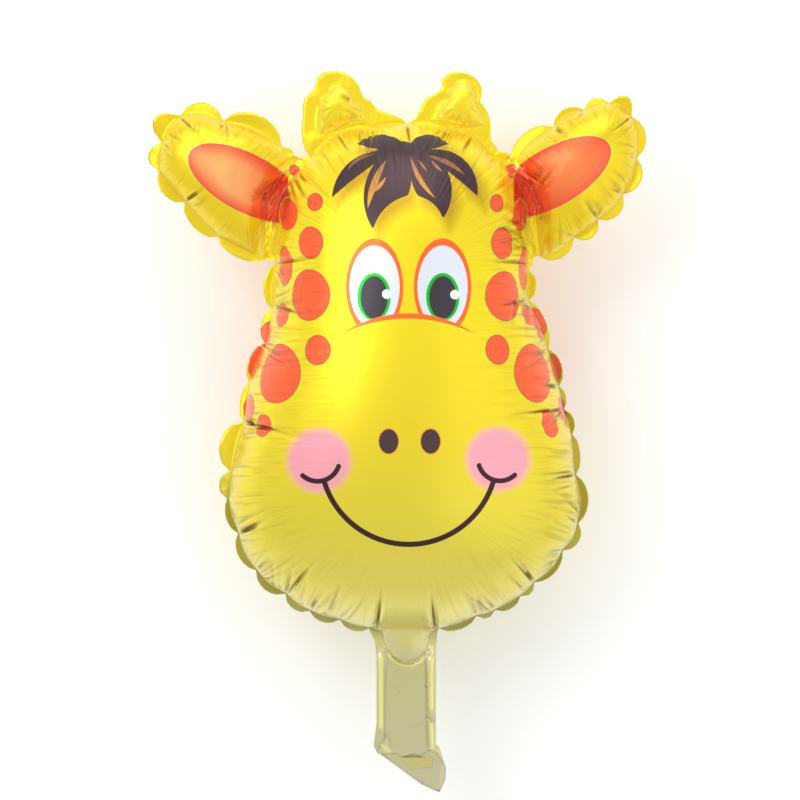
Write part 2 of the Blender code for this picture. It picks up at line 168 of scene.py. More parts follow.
def relax(rows, pairs, weights, rounds):
    """Even out the points: each moves halfway to its neighbours' mean, times its own weight."""
    count = np.bincount(pairs.ravel(), minlength=len(rows))[:, None]
    for _ in range(rounds):
        total = np.zeros_like(rows)
        np.add.at(total, pairs[:, 0], rows[pairs[:, 1]])
        np.add.at(total, pairs[:, 1], rows[pairs[:, 0]])
        rows = rows + 0.5 * weights[:, None] * (total / count - rows)
    return rows


def refine(piece):
    """Split each triangle into four."""
    mesh = bmesh.new()
    mesh.from_mesh(piece.data)
    bmesh.ops.subdivide_edges(mesh, edges=mesh.edges, cuts=1, use_grid_fill=True)
    bmesh.ops.triangulate(mesh, faces=mesh.faces)
    mesh.to_mesh(piece.data)
    mesh.free()


def new_attribute(piece, name, kind, rows):
    """One number or vector for each point, kept as the mesh is split and read by the material."""
    layer = piece.data.attributes.new(name, kind, "POINT")
    entry = "value" if kind == "FLOAT" else "vector"
    layer.data.foreach_set(entry, np.ascontiguousarray(rows, dtype=float).ravel())


places = coordinates(envelope)
new_attribute(envelope, "welded", "FLOAT", is_flat(places))


def welded_share(piece):
    """One where a point lies on the flat welded film, and less towards the swollen film."""
    values = np.empty(len(piece.data.vertices))
    piece.data.attributes["welded"].data.foreach_get("value", values)
    return values


def point_normals(piece):
    rows = np.empty(len(piece.data.vertices) * 3)
    piece.data.vertex_normals.foreach_get("vector", rows)
    return rows.reshape(-1, 3)


def weld_notches(piece):
    """Places where the weld line turns inwards, and the way into the chamber, in plan."""
    mesh = bmesh.new()
    mesh.from_mesh(piece.data)
    layer = mesh.verts.layers.float["welded"]
    neighbours = {}
    into = {}
    for face in mesh.faces:
        loose = [vert for vert in face.verts if vert[layer] < WELDED]
        if not loose or face.normal.z <= 0:
            continue
        middle = face.calc_center_median()
        for vert in face.verts:
            if vert[layer] >= WELDED:
                into.setdefault(vert.index, []).append(middle - vert.co)
        for edge in face.edges:
            if all(vert[layer] >= WELDED for vert in edge.verts):
                first, second = edge.verts
                neighbours.setdefault(first.index, []).append(second.co.copy())
                neighbours.setdefault(second.index, []).append(first.co.copy())
    mesh.verts.ensure_lookup_table()
    found = []
    for index, ends in neighbours.items():
        if len(ends) != 2:
            continue
        way = sum(into[index], Vector())
        way.z = 0
        way.normalize()
        place = mesh.verts[index].co
        sag = ((ends[0] + ends[1]) / 2 - place).dot(-way)
        if sag > NOTCH_SAG:
            found.append((place.x, place.y, way.x, way.y))
    mesh.free()
    return found


notches = weld_notches(envelope)
refine(envelope)
places = coordinates(envelope)
free = (welded_share(envelope) < WELDED).astype(float)
places = relax(places, edge_pairs(envelope), free, 4)
put_back(envelope, places)


def nearest_in_plan(places, targets):
    """Distance in plan from each place to the nearest target."""
    tree = KDTree(len(targets))
    for number, (x, y) in enumerate(targets[:, :2]):
        tree.insert((x, y, 0), number)
    tree.balance()
    return np.array([tree.find((x, y, 0))[2] for x, y, _ in places])


start_places = places.copy()
flat = welded_share(envelope) > WELDED
from_weld = nearest_in_plan(places, places[flat])
held = envelope.vertex_groups.new(name="held")
held.add([int(number) for number in np.nonzero(flat)[0]], 1.0, "REPLACE")
slack = envelope.vertex_groups.new(name="slack")
for number, distance in enumerate(from_weld):
    slack.add([number], math.exp(-distance / SLACK_REACH), "REPLACE")
gas = envelope.modifiers.new("gas", "CLOTH")
cloth = gas.settings
cloth.quality = 5
cloth.mass = 0.05
cloth.tension_stiffness = 40
cloth.compression_stiffness = 20
cloth.shear_stiffness = 10
cloth.bending_stiffness = 0.02
cloth.vertex_group_mass = "held"
cloth.pin_stiffness = 1
cloth.vertex_group_shrink = "slack"
cloth.shrink_min = 0.0
cloth.shrink_max = -FILM_SLACK
cloth.use_pressure = True
cloth.uniform_pressure_force = GAS_PRESSURE
cloth.effector_weights.gravity = 0
gas.collision_settings.use_collision = False
for step in range(1, GAS_STEPS + 1):
    scene.frame_set(step)
posed = envelope.evaluated_get(bpy.context.evaluated_depsgraph_get())
moved = coordinates(posed) - start_places
length = np.linalg.norm(moved, axis=1)
moved *= np.minimum(1, FILM_SHIFT / np.maximum(length, 1e-9))[:, None]
envelope.modifiers.remove(gas)
envelope.vertex_groups.clear()
scene.frame_set(1)
places = start_places + moved
put_back(envelope, places)


def rise(values, start, end):
    """Nought at start and one at end, with a straight ramp between them."""
    return np.clip((values - start) / (end - start), 0, 1)


refine(envelope)
places = coordinates(envelope)
weld_share = welded_share(envelope)
free = rise(weld_share, 0.75, 0.25)
places = relax(places, edge_pairs(envelope), free, 3)
aside = np.abs(places[:, 0] - HEAD_MIDDLE) / CHIN_REACH[0]
along = np.abs(places[:, 1] - CHIN_Y) / CHIN_REACH[1]
chin = rise(aside, 2, 1) * rise(along, 2, 1)
places = relax(places, edge_pairs(envelope), free * chin, CHIN_ROUNDS)
put_back(envelope, places)

# Where the film was printed: its place across the head, measured along the swollen film, so that
# the spots wrap round the flanks as ink on a flat sheet does once the sheet swells.
MM = 1000
COLUMN = 0.001                  # how far apart the columns and rows of the tables are
ROW = 0.002
ABOVE_ALL = 0.3
STEEPEST = 4                    # slope over which the film counts as folded, not as swollen
plan_x = np.arange(-0.150, 0.1501, COLUMN)
plan_y = np.arange(-0.214, 0.2141, ROW)
film_tree = BVHTree.FromObject(envelope, bpy.context.evaluated_depsgraph_get())
film_height = np.zeros((len(plan_y), len(plan_x)))
for row, y in enumerate(plan_y):
    for column, x in enumerate(plan_x):
        hit = film_tree.ray_cast(Vector((x, y, ABOVE_ALL)), Vector((0, 0, -1)))[0]
        film_height[row, column] = hit.z if hit else SEAM_Z
slope = np.clip(np.diff(film_height, axis=1) / COLUMN, -STEEPEST, STEEPEST)
stretch = np.cumsum(np.sqrt(1 + slope ** 2), axis=1)
film_x = np.concatenate([np.zeros((len(plan_y), 1)), stretch], axis=1) * COLUMN
middle_column = int(np.argmin(np.abs(plan_x - HEAD_MIDDLE)))
film_x += HEAD_MIDDLE - film_x[:, middle_column:middle_column + 1]


def read_plan(table, x, y):
    """Value of a plan table between its rows and columns."""
    column = np.clip((x - plan_x[0]) / COLUMN, 0, len(plan_x) - 1.001)
    row = np.clip((y - plan_y[0]) / ROW, 0, len(plan_y) - 1.001)
    i, j = row.astype(int), column.astype(int)
    v, u = row - i, column - j
    low = table[i, j] * (1 - u) + table[i, j + 1] * u
    high = table[i + 1, j] * (1 - u) + table[i + 1, j + 1] * u
    return low * (1 - v) + high * v


def as_seen(rows):
    """Where the camera sees each place, on the plane of the weld."""
    zoom = CAMERA_DISTANCE / (CAMERA_DISTANCE - (rows[:, 2] - SEAM_Z))
    return np.array(VIEW_CENTRE) + (rows[:, :2] - np.array(VIEW_CENTRE)) * zoom[:, None]


def capsule_run(rows, start, end, radius):
    """How far round a capsule each place lies, from its foot, and how far out, in half widths."""
    start, end = np.array(start), np.array(end)
    length = np.linalg.norm(end - start)
    up = (end - start) / length
    side = np.array([up[1], -up[0]])
    gap = rows[:, :2] - start
    along = gap @ up
    across = gap @ side
    beyond = along - np.clip(along, 0, length)
    quarter = radius * math.pi / 2
    turned = radius * np.arctan2(beyond, across)
    left_end = 3 * quarter + 2 * length
    foot = np.where(across > 0, quarter + turned, left_end + 2 * quarter + turned)
    top = quarter + length + turned
    flank = np.where(across > 0, quarter + along, left_end - along)
    run = np.where(beyond < 0, foot, np.where(beyond > 0, top, flank))
    return run, np.hypot(beyond, across) / radius


# Ripples run in from the weld, across the run round each chamber. They fade away from the weld,
# on a chamber's spine, outside it, where two chambers meet and under the neck.
RIPPLE_DEPTH = 0.00042
RIPPLE_REACH = 0.014
RIPPLES = ((1.0, 0.0061, 2.3, 0.043, 0), (0.7, 0.0083, 1.7, 0.029, 1))
RIPPLE_SWELL = 0.057            # every so far along the weld they are deep and then slight
NECK_ROOT = 0.012               # half width of the stretch of weld that the neck leaves by
CHAMBERS = (                    # both ends of each chamber's spine, in plan, and its half width
    ((0.0045, -0.030), (0.0045, 0.095), 0.085),
    ((-0.118, 0.160), (-0.088, 0.132), 0.030),
    ((0.120, 0.163), (0.092, 0.137), 0.030),
    ((-0.034, 0.200), (-0.033, 0.190), 0.012),
    ((0.038, 0.200), (0.038, 0.190), 0.012),
)
# Each place goes with the chamber that it lies deepest in. The runs of two chambers start a metre
# apart, so their ripples differ.
best = np.full(len(places), np.inf)
second = np.full(len(places), np.inf)
run = np.zeros(len(places))
reach = np.zeros(len(places))
for number, (start, end, radius) in enumerate(CHAMBERS):
    chamber_run, share = capsule_run(places, start, end, radius)
    nearer = share < best
    second = np.where(nearer, best, np.minimum(second, share))
    best[nearer] = share[nearer]
    run[nearer] = chamber_run[nearer] + number
    reach[nearer] = min(RIPPLE_REACH, radius / 2.5)

flat = weld_share > WELDED
from_weld = nearest_in_plan(places, places[flat]) - nearest_in_plan(places, places[~flat])
near_weld = np.exp(-np.maximum(from_weld, 0) / reach) * rise(best, 0.3, 0.6)
near_weld *= rise(second - best, 0, 0.25) * rise(best, 1.4, 1.2)
near_weld *= np.maximum(rise(from_weld, -0.002, 0), 0.25)
aside = np.abs(places[:, 0] - HEAD_MIDDLE) / NECK_ROOT
at_neck = (aside < 1) & (places[:, 1] < -0.05)
near_weld[at_neck] *= aside[at_neck] ** 2
seen = as_seen(places)
nought = np.zeros(len(places))
printed_x = read_plan(film_x, places[:, 0], places[:, 1])
new_attribute(envelope, "seen", "FLOAT_VECTOR", np.column_stack([seen * MM, nought]))
new_attribute(envelope, "side", "FLOAT", (places[:, 2] - SEAM_Z) * MM)
new_attribute(envelope, "printed", "FLOAT_VECTOR",
              np.column_stack([printed_x * MM, seen[:, 1] * MM, nought]))
new_attribute(envelope, "weld", "FLOAT_VECTOR",
              np.column_stack([from_weld * MM, run * MM, near_weld]))

# Creases run in from every notch of the weld, a long one with a fan of fine ones beside it.
# Each is a row of start, way, length, depth and width.
LONG_WIDTH = 0.0011
MAIN_LENGTH = (0.008, 0.017)    # of the crease at each notch, from the least to the most
MAIN_DEPTH = (0.0013, 0.0020)
MAIN_WIDTH = 0.0009
FINE_LENGTH = (0.010, 0.024)    # of the fine creases beside it
FINE_DEPTH = (0.0004, 0.0010)
FINE_WIDTH = (0.0009, 0.0015)
FINE_START = (0.0015, 0.0045)   # how far inside the weld they start
FAN = 0.008                     # how far to each side of the notch
SMALL_CHAMBER = 0.6             # how long the creases of the ears and horns are beside the head's
EARS_Y, HORNS_Y = 0.1, 0.18     # the ears and the horns are above these
FACE_HALF_WIDTH = 0.108
BROW_HALF_WIDTH = 0.074         # of the head between the ears
LONG_CREASES = (                # start, end and depth in millimetres, on the plane of the weld
    (-71, 98, -41, 101, 1.6), (-71, 73, -48, 66, 1.6), (-89, 5.5, -54, -3, 3.2),
    (-92, -59, -72, -48, 2.0), (-64, -94, -44, -70, 2.2), (-12, -115, -8, -86, 3.2),
    (22, -115, 19, -88, 3.2), (79, -87, 62, -69, 2.0), (103, -25, 83, -29, 1.6),
    (96, 13, 60, 10, 2.6), (75, 76.5, 54, 72, 1.6), (76, 98, 48, 99, 1.4),
    (6, 178, 9, 160, 2.2), (-34, 172, -25, 158, 1.4), (43, 171, 36, 160, 1.4),
    (-123, 134, -111, 142, 1.4), (-126, 183, -113, 171, 1.4), (117, 124, 107, 135, 1.4),
    (136, 183, 122, 172, 1.4),
)
dice = random.Random(5)
creases = []
for x0, y0, x1, y1, depth in LONG_CREASES:
    length = math.hypot(x1 - x0, y1 - y0)
    creases.append((x0 / MM, y0 / MM, (x1 - x0) / length, (y1 - y0) / length, length / MM,
                    depth / MM, LONG_WIDTH))
for x, y, way_x, way_y in notches:
    half_width = FACE_HALF_WIDTH if y < EARS_Y else BROW_HALF_WIDTH
    on_head = abs(x - HEAD_MIDDLE) < half_width and y < HORNS_Y
    size = 1 if on_head else SMALL_CHAMBER
    main_turn = math.atan2(way_y, way_x) + dice.uniform(-0.25, 0.25)
    creases.append((x, y, math.cos(main_turn), math.sin(main_turn),
                    size * dice.uniform(*MAIN_LENGTH), dice.uniform(*MAIN_DEPTH), MAIN_WIDTH))
    for _ in range(5 if on_head else 2):
        shift = dice.uniform(-FAN, FAN)
        turn = main_turn + shift * dice.uniform(15, 40)
        inset = dice.uniform(*FINE_START)
        creases.append((x - way_y * shift + way_x * inset, y + way_x * shift + way_y * inset,
                        math.cos(turn), math.sin(turn), size * dice.uniform(*FINE_LENGTH),
                        dice.uniform(*FINE_DEPTH), dice.uniform(*FINE_WIDTH)))


def crease_dent(rows, crease):
    """How far one crease pushes the film in at each place; its shoulders stand out a little."""
    x, y, way_x, way_y, length, depth, width = crease
    along = ((rows[:, 0] - x) * way_x + (rows[:, 1] - y) * way_y) / length
    across = (rows[:, 1] - y) * way_x - (rows[:, 0] - x) * way_y
    spread = (across / (width * (1 + 1.2 * np.clip(along, 0, 1)))) ** 2
    fade = rise(along, 1, 0) ** 0.8 * rise(along * length, -0.002, 0)
    return depth * fade * (1 - 0.9 * spread) * np.exp(-spread)


def to_segment(rows, x0, y0, x1, y1):
    """Distance in plan, in millimetres, from each place to a line given in millimetres."""
    gap = rows[:, :2] * MM - np.array([x0, y0])
    way = np.array([x1 - x0, y1 - y0])
    share = np.clip(gap @ way / (way @ way), 0, 1)
    return np.linalg.norm(gap - share[:, None] * way, axis=1)


# Tucks in the flat neck and its tail: start, end, depth and width in millimetres. A tuck with a
# depth below nought stands out. The film also buckles in a crescent under the end of the gas:
# an arc round a place, with its radius, below CRESCENT_TOP.
TUCKS = (
    (-6.9, -128, -7.3, -177, 0.38, 1.0), (-9.6, -131, -9.4, -172, -0.50, 1.3),
    (-6.9, -177.5, -11.7, -186.4, 0.38, 0.9), (-8.8, -183, -5.2, -186, -0.40, 1.3),
    (16.5, -130, 17.7, -184.2, 0.38, 0.9), (19.9, -125, 19.9, -161, -0.45, 1.2),
    (17, -166.4, 21.5, -168.4, 0.35, 0.7), (19.8, -171, 20.4, -184, -0.45, 1.2),
    (-3.5, -188.5, 9.1, -202, -0.30, 0.9), (23.2, -187, 24.4, -205, -0.30, 1.8),
    (22.1, -196.8, 14.3, -203.5, 0.16, 0.5), (-1.6, -148, 1.4, -151.6, 0.16, 0.6),
    (7, -172.4, 14.6, -169.8, 0.16, 0.6), (-5.6, -176, -3.6, -184, 0.20, 0.7),
)
CRESCENT = (6.4, -123.75, 11.5)
CRESCENT_TOP = -129.6
CRESCENT_HEIGHT = 0.8
NECK_TOP = -0.124


def from_crescent(rows):
    """Distance in plan, in millimetres, outside the crescent's arc."""
    x, y, radius = CRESCENT
    return np.hypot(rows[:, 0] * MM - x, rows[:, 1] * MM - y) - radius


def tuck_dent(rows):
    """How far the neck's tucks push its film in, and the painted shade in each tuck's fold, with
    painted highlight, below nought, on ridges and beside the crescent.
    """
    dent = np.zeros(len(rows))
    shade = np.zeros(len(rows))
    # Painted shade in a tuck that pushes in, painted highlight on one that stands out
    for *line, depth, width in TUCKS:
        profile = np.exp(-(to_segment(rows, *line) / width) ** 2)
        dent += depth * profile
        shade += math.copysign(min(1, 2 * abs(depth)), depth) * profile
    arc = from_crescent(rows)
    below = rise(rows[:, 1] * MM, CRESCENT_TOP, CRESCENT_TOP - 2.5)
    dent -= CRESCENT_HEIGHT * below * np.exp(-((arc - 1.0) / 0.8) ** 2)
    # Painted shade along the crescent's arc, and a painted highlight just outside it
    dark, light = np.exp(-(arc / 0.4) ** 2), np.exp(-((arc - 1.1) / 0.6) ** 2)
    return dent / MM, shade + below * (dark - 0.9 * light)


def split_long_edges(piece, longest, wanted):
    """Halve the edges of one region that are longer than asked, up to five times."""
    for _ in range(5):
        rows = coordinates(piece)
        pairs = edge_pairs(piece)
        first, second = rows[pairs[:, 0]], rows[pairs[:, 1]]
        long_enough = np.linalg.norm(first - second, axis=1) > longest
        chosen = np.nonzero(long_enough & wanted((first + second) / 2))[0]
        mesh = bmesh.new()
        mesh.from_mesh(piece.data)
        mesh.edges.ensure_lookup_table()
        bmesh.ops.subdivide_edges(mesh, edges=[mesh.edges[number] for number in chosen], cuts=1)
        bmesh.ops.triangulate(mesh, faces=mesh.faces)
        mesh.to_mesh(piece.data)
        mesh.free()


def on_neck_front(rows):
    return (rows[:, 1] < NECK_TOP) & (rows[:, 2] > SEAM_Z)


def near_a_tuck(rows):
    tucked = np.min([to_segment(rows, *tuck[:4]) - 1.5 * tuck[5] for tuck in TUCKS], axis=0) < 0
    buckled = (np.abs(from_crescent(rows) - 0.6) < 1.6) & (rows[:, 1] * MM <= CRESCENT_TOP)
    return on_neck_front(rows) & (tucked | buckled)


def refine_near_creases(piece, rows, least_depth, reach):
    """Split the edges once more beside each crease that is deeper than asked."""
    near = np.zeros(len(rows), dtype=bool)
    for x, y, way_x, way_y, length, depth, _ in creases:
        if depth > least_depth:
            along = (rows[:, 0] - x) * way_x + (rows[:, 1] - y) * way_y
            across = (rows[:, 1] - y) * way_x - (rows[:, 0] - x) * way_y
            beside = (along > -0.001) & (along < 0.8 * length) & (np.abs(across) < reach)
            near |= beside & (rows[:, 2] > SEAM_Z)
    mesh = bmesh.new()
    mesh.from_mesh(piece.data)
    mesh.verts.ensure_lookup_table()
    chosen = [edge for edge in mesh.edges if all(near[vert.index] for vert in edge.verts)]
    bmesh.ops.subdivide_edges(mesh, edges=chosen, cuts=1, use_grid_fill=True)
    bmesh.ops.triangulate(mesh, faces=mesh.faces)
    mesh.to_mesh(piece.data)
    mesh.free()


FOLD_DEPTH = 0.0014             # a crease this deep gets the full painted shade at its bottom
FOLD_WIDTH = 0.0007
MOST_DENT = 0.55                # of the film's height over the seam
refine_near_creases(envelope, places, 0.0007, 0.0015)
split_long_edges(envelope, 0.0020, on_neck_front)
split_long_edges(envelope, 0.0009, near_a_tuck)
places = coordinates(envelope)
weld_rows = np.empty(len(places) * 3)
envelope.data.attributes["weld"].data.foreach_get("vector", weld_rows)
weld_rows = weld_rows.reshape(-1, 3)
dent = sum(crease_dent(places, crease) for crease in creases)
# Painted shade for the bottoms of the creases and, below nought, painted highlight for their
# shoulders, kept as the fold attribute
fold = np.zeros(len(places))
for x, y, way_x, way_y, length, depth, _ in creases:
    shade = min(1, depth / FOLD_DEPTH)
    fold += crease_dent(places, (x, y, way_x, way_y, 0.9 * length, shade, FOLD_WIDTH))
neck_dent, neck_fold = tuck_dent(places)
on_front = on_neck_front(places)
swollen = rise(weld_rows[:, 0], 0, 1.2)
fold = np.clip(fold * swollen + 0.6 * neck_fold * on_front, -1, 1)
new_attribute(envelope, "fold", "FLOAT", fold)
turns = 2 * math.pi * weld_rows[:, 1] / MM
ripple = np.zeros(len(places))
for strength, wave, sway, sway_wave, phase in RIPPLES:
    ripple += strength * np.sin(turns / wave + sway * np.sin(turns / sway_wave) + phase)
ripple *= 0.6 + 0.4 * np.sin(turns / RIPPLE_SWELL + 2)
dent += RIPPLE_DEPTH * ripple * weld_rows[:, 2]
dent = np.minimum(dent, MOST_DENT * np.abs(places[:, 2] - SEAM_Z)) * swollen
dent += neck_dent * on_front
places -= point_normals(envelope) * dent[:, None]
places[:, 2] = np.maximum(places[:, 2], 0)
put_back(envelope, places)
for polygon in envelope.data.polygons:
    polygon.use_smooth = True
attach(envelope, "root")
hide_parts("foil_balloon")

# The print. Ink goes on the flat sheet before it is welded; all its sizes are in millimetres on
# the plane of the weld. Every shape is a signed distance, below zero where the ink is.


class Value:
    """A number that changes over the surface. Sums on it add Math nodes to its node tree."""

    def __init__(self, tree, socket):
        self.tree = tree
        self.socket = socket

    def calc(self, operation, *others, clamp=False):
        node = self.tree.nodes.new("ShaderNodeMath")
        node.operation = operation
        node.use_clamp = clamp
        for entry, value in zip(node.inputs, (self, *others)):
            if isinstance(value, Value):
                self.tree.links.new(value.socket, entry)
            else:
                entry.default_value = value
        return Value(self.tree, node.outputs[0])

    def __add__(self, other):
        return self.calc("ADD", other)

    def __sub__(self, other):
        return self.calc("SUBTRACT", other)

    def __mul__(self, other):
        return self.calc("MULTIPLY", other)

    def __neg__(self):
        return self.calc("MULTIPLY", -1)

    def low(self, other):
        return self.calc("MINIMUM", other)

    def high(self, other):
        return self.calc("MAXIMUM", other)

    def rise(self, start, end):
        """Nought at start and one at end, with a straight ramp between them."""
        return self.calc("MULTIPLY_ADD", 1 / (end - start), -start / (end - start), clamp=True)

    def inked(self, soft=0.3):
        """One inside a shape and nought outside it, over a soft edge."""
        return self.calc("MULTIPLY_ADD", -1 / soft, 0.5, clamp=True)


def vector_calc(tree, operation, first, second):
    node = tree.nodes.new("ShaderNodeVectorMath")
    node.operation = operation
    tree.links.new(first, node.inputs[0])
    node.inputs[1].default_value = second
    return node


def oval(tree, place, x, y, rx, ry, lean=0):
    """Signed distance from an ellipse, leaning to the left by an angle in degrees."""
    node = tree.nodes.new("ShaderNodeMapping")
    node.vector_type = "TEXTURE"
    tree.links.new(place, node.inputs["Vector"])
    node.inputs["Location"].default_value = (x, y, 0)
    node.inputs["Rotation"].default_value = (0, 0, math.radians(lean))
    node.inputs["Scale"].default_value = (rx, ry, 1)
    length = vector_calc(tree, "LENGTH", node.outputs[0], (0, 0, 0)).outputs["Value"]
    size = math.sqrt(rx * ry)
    return Value(tree, length).calc("MULTIPLY_ADD", size, -size)


def disc(tree, place, x, y, radius):
    return Value(tree, vector_calc(tree, "DISTANCE", place, (x, y, 0)).outputs["Value"]) - radius


def beyond(tree, place, x0, y0, x1, y1):
    """Distance to the left of the line from the first point to the second."""
    length = math.hypot(x1 - x0, y1 - y0)
    way = (-(y1 - y0) / length, (x1 - x0) / length, 0)
    dot = Value(tree, vector_calc(tree, "DOT_PRODUCT", place, way).outputs["Value"])
    return dot - (way[0] * x0 + way[1] * y0)


def side_disc(tree, place, x0, y0, x1, y1, bulge):
    """Disc whose rim runs from one tip to the other, out by bulge to the left of that way."""
    half = math.hypot(x1 - x0, y1 - y0) / 2
    radius = (half ** 2 + bulge ** 2) / (2 * abs(bulge))
    depth = (radius - abs(bulge)) * math.copysign(1, bulge)
    left = (-(y1 - y0) / 2 / half, (x1 - x0) / 2 / half)
    middle = ((x0 + x1) / 2, (y0 + y1) / 2)
    shape = disc(tree, place, middle[0] - left[0] * depth, middle[1] - left[1] * depth, radius)
    return shape if bulge > 0 else -shape


def together(shapes):
    """One shape that holds all of these."""
    return reduce(Value.low, shapes)


def leaf(tree, place, x0, y0, x1, y1, left, right):
    """Leaf between two tips; a negative bulge hollows that side."""
    return side_disc(tree, place, x0, y0, x1, y1, left).high(
        side_disc(tree, place, x1, y1, x0, y0, right))


def stroke(tree, place, x0, y0, xm, ym, x1, y1, width):
    """Round-ended stroke on the arc through three points."""
    a, b, c = complex(x0, y0), complex(xm, ym), complex(x1, y1)
    w = (c - a) / (b - a)
    centre = (b - a) * (w - abs(w) ** 2) / (2j * w.imag) + a
    radius = abs(a - centre)
    ring = disc(tree, place, centre.real, centre.imag, radius).calc("ABSOLUTE") - width / 2
    side = beyond(tree, place, x0, y0, x1, y1)
    if (xm - x0) * -(y1 - y0) + (ym - y0) * (x1 - x0) > 0:
        side = -side
    ends = disc(tree, place, x0, y0, width / 2).low(disc(tree, place, x1, y1, width / 2))
    return ring.high(side).low(ends)


def colour(red, green, blue):
    """Linear colour from the picture's own 0 to 255 scale."""
    return tuple(((level / 255 + 0.055) / 1.055) ** 2.4 if level > 10 else level / 255 / 12.92
                 for level in (red, green, blue)) + (1,)


def ink(tree, under, mask, over, blend="MIX"):
    """A layer of ink over what is already printed."""
    node = tree.nodes.new("ShaderNodeMix")
    node.data_type = "RGBA"
    node.blend_type = blend
    tree.links.new(mask.socket, node.inputs["Factor"])
    for entry, value in ((node.inputs[6], under), (node.inputs[7], over)):
        if isinstance(value, tuple):
            entry.default_value = value
        else:
            tree.links.new(value, entry)
    return node.outputs[2]


def new_group(name, inputs, outputs):
    """Shader node group; returns it with its inputs and outputs."""
    tree = bpy.data.node_groups.new(name, "ShaderNodeTree")
    for kind, direction in ((inputs, "INPUT"), (outputs, "OUTPUT")):
        for socket_name, socket_type in kind:
            tree.interface.new_socket(socket_name, in_out=direction, socket_type=socket_type)
    return tree, tree.nodes.new("NodeGroupInput").outputs, tree.nodes.new("NodeGroupOutput").inputs


def use_group(tree, group, **links):
    node = tree.nodes.new("ShaderNodeGroup")
    node.node_tree = group
    for name, value in links.items():
        entry = node.inputs[name.replace("_", " ")]
        if isinstance(value, bpy.types.NodeSocket):
            tree.links.new(value, entry)
        else:
            entry.default_value = value
    return node.outputs


def attribute(tree, name, output="Vector"):
    node = tree.nodes.new("ShaderNodeAttribute")
    node.attribute_name = name
    return node.outputs[output]


def parts_of(tree, vector):
    node = tree.nodes.new("ShaderNodeSeparateXYZ")
    tree.links.new(vector, node.inputs[0])
    return [Value(tree, socket) for socket in node.outputs]


# The tuft of hair: leaf-shaped locks from one root
tuft, tuft_in, tuft_out = new_group(
    "tuft of hair", [("Place", "NodeSocketVector")],
    [("Distance", "NodeSocketFloat"), ("Strands", "NodeSocketFloat")])
LOCKS = (
    (-37.9, 136.4, -2, 163, 10.5, -1.2), (14, 163, 46.7, 137.3, 12, -0.8),
    (-23.3, 168.2, 5.9, 166, 6, 2.5), (5.7, 166, 29.7, 168.2, 6, 2.5),
)
STRANDS = (
    (-28.9, 152.3, -12.7, 161.7, 3.4, -1.6), (-17, 130.4, -6.3, 158.3, 3.6, 0.3),
    (-14.4, 139.4, -6.6, 148.4, 0.5, 1.8), (7.9, 160.8, 22.4, 136, -0.9, 3.6),
    (17.3, 160.8, 39.2, 149.7, 3.2, -0.6), (19.9, 158.3, 26.7, 151.4, 0.4, 1.2),
    (12.1, 158.3, 17.3, 151.8, 0.8, 0.3),
)
hair = oval(tuft, tuft_in[0], 4.5, 160, 18.5, 9.2)
for lock, hollow in (((-14, 118, 2, 168, 12.5, 13.5), (11.7, 111.8, 26.2)),
                     ((26.7, 124, 10, 168, 9.5, 12.5), (8.9, 119, 18.4))):
    hair = hair.low(leaf(tuft, tuft_in[0], *lock).calc(
        "SMOOTH_MAX", -disc(tuft, tuft_in[0], *hollow), 2.5))
hair = together([hair] + [leaf(tuft, tuft_in[0], *lock) for lock in LOCKS])
strands = together([leaf(tuft, tuft_in[0], *strand) for strand in STRANDS])
tuft.links.new(hair.socket, tuft_out[0])
tuft.links.new(strands.socket, tuft_out[1])

# The spots: x, y, half width, half height and lean, as the camera sees them
SPOTS = (
    (-47.8, 133.8, 4.7, 5.4, 0), (-63.2, 126.8, 5.2, 9.5, -12), (-50.1, 110.2, 7.2, 9.5, -5),
    (-64.7, 96.5, 3.8, 11.7, 0), (-50.1, 79.6, 11.2, 15.1, -8), (-66.7, 68, 3.6, 7, 0),
    (-46.1, 47.6, 7.6, 8.9, 0), (-67.6, 33.9, 11.7, 17.4, -12), (-86.4, 13.2, 3.3, 8.7, 0),
    (-77.7, 3.6, 4.5, 6.7, 0), (-60, 152.3, 3, 3.4, -30), (-76.9, 56.3, 3, 8, 0),
    (-83.3, 40, 3, 10, 0),
    (58, 133.2, 4.1, 5.4, 0), (71.6, 126.2, 4.1, 9.3, 12), (61.1, 109.9, 6.4, 9.5, 5),
    (73.3, 95, 2.5, 12.8, 0), (60.9, 79, 9.7, 14.6, 8), (76.3, 68.6, 3.2, 6.7, 0),
    (58.4, 47.8, 7, 8.9, 0), (78.4, 34.2, 10.4, 17.3, 12), (89.1, 5.1, 4.7, 8.6, 0),
    (96.6, 12.7, 2.5, 8, 0), (83.6, 62.5, 3.5, 10, 0), (93.2, 36.5, 3, 9, 0),
    (66.5, 151.8, 3, 3.6, 30),
)


def on_film(x, y):
    """Place across the printed film, in millimetres, of what the camera sees at x and y."""
    aim = np.array([[x, y]]) / MM
    centre = np.array(VIEW_CENTRE)
    plan = aim
    for _ in range(4):
        height = read_plan(film_height, plan[:, 0], plan[:, 1])
        zoom = (CAMERA_DISTANCE - (height - SEAM_Z)) / CAMERA_DISTANCE
        plan = centre + (aim - centre) * zoom[:, None]
    return read_plan(film_x, plan[:, 0], plan[:, 1])[0] * MM


spots, spots_in, spots_out = new_group("spots", [("Place", "NodeSocketVector")],
                                       [("Distance", "NodeSocketFloat")])
printed_spots = []
for x, y, rx, ry, lean in SPOTS:
    left, right = on_film(x - rx, y), on_film(x + rx, y)
    printed_spots.append(
        oval(spots, spots_in[0], (left + right) / 2, y, (right - left) / 2, ry, lean))
spots.links.new(together(printed_spots).socket, spots_out[0])
